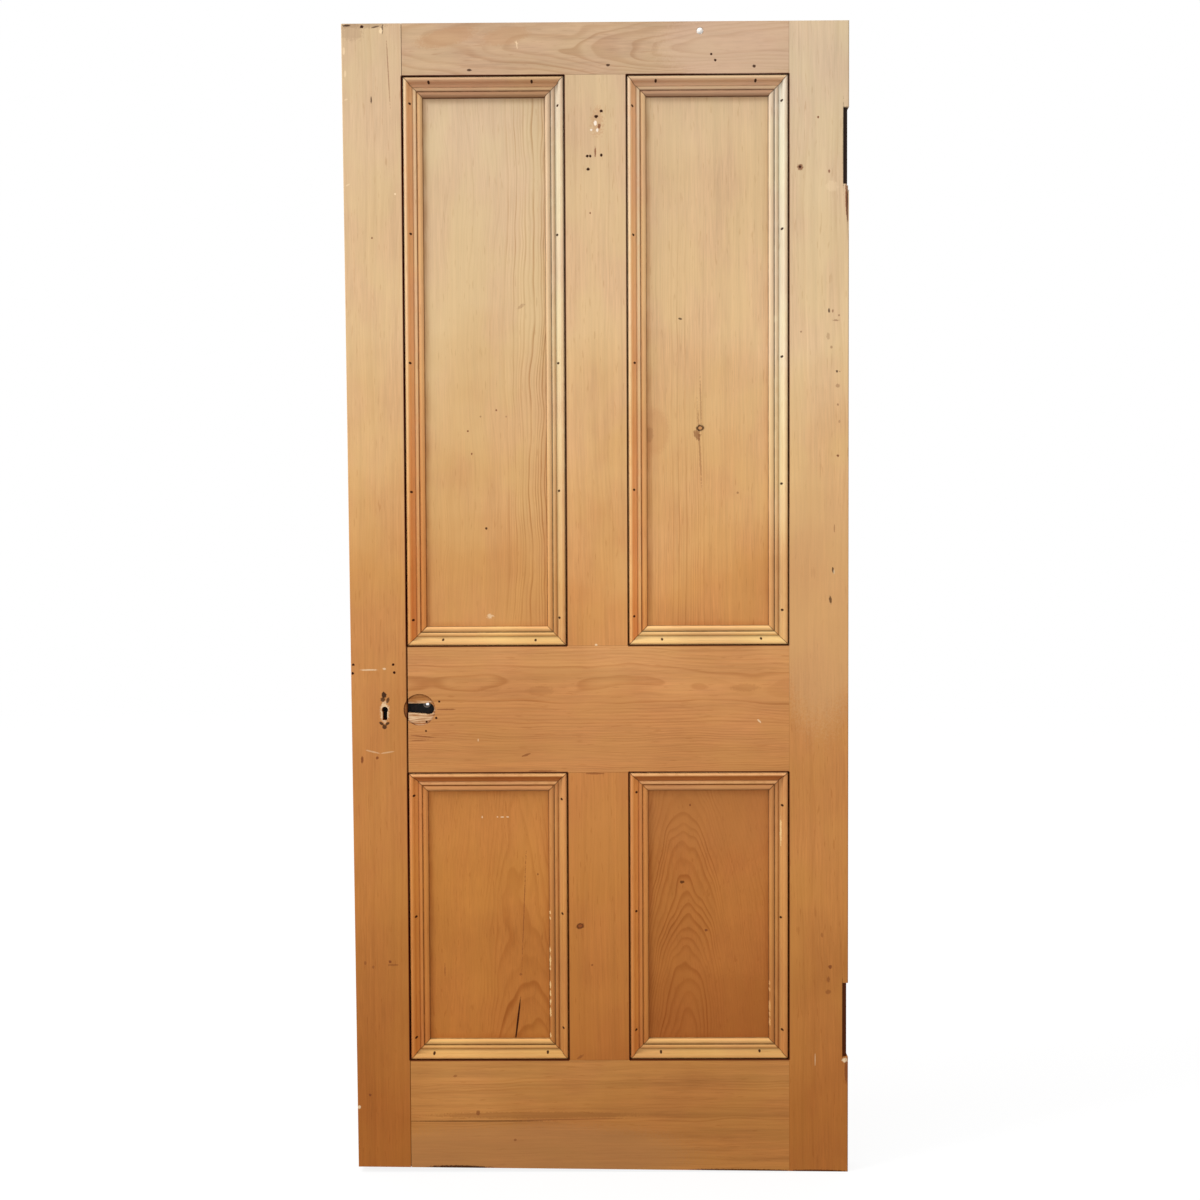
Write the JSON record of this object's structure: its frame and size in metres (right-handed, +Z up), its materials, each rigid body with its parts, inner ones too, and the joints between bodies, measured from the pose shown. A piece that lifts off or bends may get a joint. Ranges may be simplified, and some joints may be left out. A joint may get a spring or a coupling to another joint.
{
  "type": "four-panel door leaf",
  "caption": "Framed pine door leaf with flat panels, mitred ogee mouldings, hinge recesses and a mortice lock, to hang in a doorway.",
  "frame": {"origin": "foot of the hinge edge, midway through the door's thickness", "axes": "+Z up, +X out of the hinge edge, -Y out of the front face that the picture shows"},
  "size_m": [0.864, 0.044, 1.981],
  "materials": {
    "stile_pine": "old pine, stripped and waxed, grain upright",
    "rail_pine": "old pine, stripped and waxed, grain level",
    "panel_pine": "old pine, stripped and waxed, flat sawn",
    "moulding_pine": "moulded pine, stripped and waxed",
    "wedge_pine": "end grain, darkened",
    "packing_wood": "dark stained softwood, not stripped",
    "lock_iron": "blackened iron, worn"
  },
  "bodies": {
    "root": {"lock_stile": "stile_pine", "hinge_stile": "stile_pine", "top_rail": "rail_pine", "lock_rail": "rail_pine", "bottom_rail": "rail_pine", "upper_muntin": "stile_pine", "lower_muntin": "stile_pine", "upper_left_panel": "panel_pine", "upper_right_panel": "panel_pine", "lower_left_panel": "panel_pine", "lower_right_panel": "panel_pine", "front_upper_left_top_moulding": "moulding_pine", "front_upper_left_bottom_moulding": "moulding_pine", "front_upper_left_left_moulding": "moulding_pine", "front_upper_left_right_moulding": "moulding_pine", "front_upper_right_top_moulding": "moulding_pine", "front_upper_right_bottom_moulding": "moulding_pine", "front_upper_right_left_moulding": "moulding_pine", "front_upper_right_right_moulding": "moulding_pine", "front_lower_left_top_moulding": "moulding_pine", "front_lower_left_bottom_moulding": "moulding_pine", "front_lower_left_left_moulding": "moulding_pine", "front_lower_left_right_moulding": "moulding_pine", "front_lower_right_top_moulding": "moulding_pine", "front_lower_right_bottom_moulding": "moulding_pine", "front_lower_right_left_moulding": "moulding_pine", "front_lower_right_right_moulding": "moulding_pine", "back_upper_left_top_moulding": "moulding_pine", "back_upper_left_bottom_moulding": "moulding_pine", "back_upper_left_left_moulding": "moulding_pine", "back_upper_left_right_moulding": "moulding_pine", "back_upper_right_top_moulding": "moulding_pine", "back_upper_right_bottom_moulding": "moulding_pine", "back_upper_right_left_moulding": "moulding_pine", "back_upper_right_right_moulding": "moulding_pine", "back_lower_left_top_moulding": "moulding_pine", "back_lower_left_bottom_moulding": "moulding_pine", "back_lower_left_left_moulding": "moulding_pine", "back_lower_left_right_moulding": "moulding_pine", "back_lower_right_top_moulding": "moulding_pine", "back_lower_right_bottom_moulding": "moulding_pine", "back_lower_right_left_moulding": "moulding_pine", "back_lower_right_right_moulding": "moulding_pine", "tenon_wedges": "wedge_pine", "lower_hinge_packing": "packing_wood", "upper_hinge_packing": "packing_wood", "mortice_lock": "lock_iron"}
  },
  "joints": []
}
